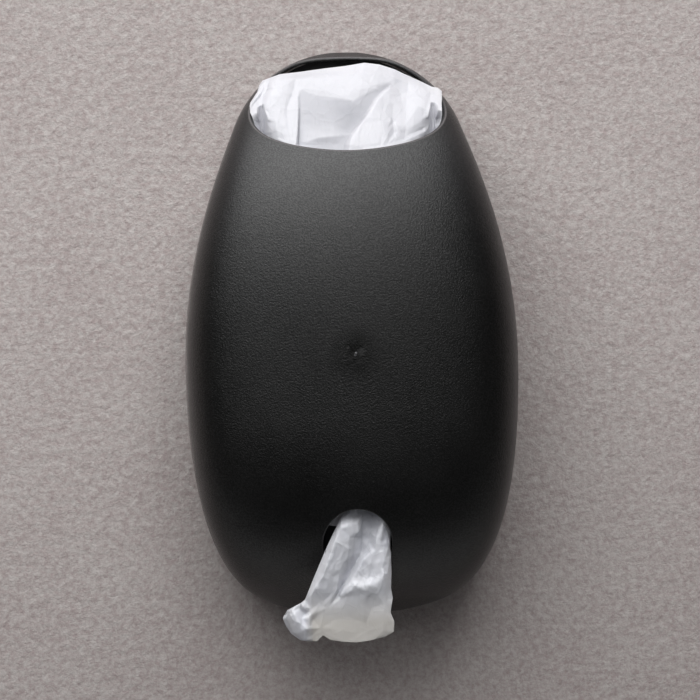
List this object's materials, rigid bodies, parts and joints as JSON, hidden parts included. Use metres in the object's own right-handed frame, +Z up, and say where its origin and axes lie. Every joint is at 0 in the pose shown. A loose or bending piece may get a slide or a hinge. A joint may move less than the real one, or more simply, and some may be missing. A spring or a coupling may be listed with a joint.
{
  "type": "wall-mounted carrier bag dispenser",
  "caption": "Egg-shaped black plastic wall dispenser for used carrier bags: filled through a slanting top mouth, emptied through an arched bottom slot, hooked onto a screwed back plate.",
  "frame": {"origin": "centre of the back plate's rear face, on the wall, half way up the cover", "axes": "+Z up; +Y into the wall, so the front looks along -Y; +X to the right of someone facing the wall"},
  "size_m": [0.187, 0.1453, 0.3365],
  "materials": {
    "cover_plastic": "satin",
    "plate_plastic": "satin",
    "screw_steel": "satin",
    "plug_nylon": "matte",
    "bag_film": "satin"
  },
  "bodies": {
    "wall_side": {"back_plate": "plate_plastic", "wall_screw_upper_right": "screw_steel", "wall_screw_upper_left": "screw_steel", "wall_screw_lower_right": "screw_steel", "wall_screw_lower_left": "screw_steel", "wall_plug_upper_right": "plug_nylon", "wall_plug_upper_left": "plug_nylon", "wall_plug_lower_right": "plug_nylon", "wall_plug_lower_left": "plug_nylon"},
    "cover": {"cover_shell": "cover_plastic", "stored_bag_upper": "bag_film", "stored_bag_middle": "bag_film", "stored_bag_lower_right": "bag_film", "stored_bag_lower_left": "bag_film"},
    "top_bag": {"mouth_bag": "bag_film"},
    "hanging_bag": {"pulled_bag": "bag_film"}
  },
  "joints": [
    {"name": "cover_lift_off", "type": "slide", "parent": "wall_side", "child": "cover", "axis": [0, 0, 1], "range_m": [0, 0.0095]},
    {"name": "top_bag_out_of_mouth", "type": "slide", "parent": "cover", "child": "top_bag", "axis": [0, 0, 1], "range_m": [0, 0.09]},
    {"name": "hanging_bag_out_of_slot", "type": "slide", "parent": "cover", "child": "hanging_bag", "axis": [0, 0, -1], "range_m": [0, 0.11]}
  ]
}
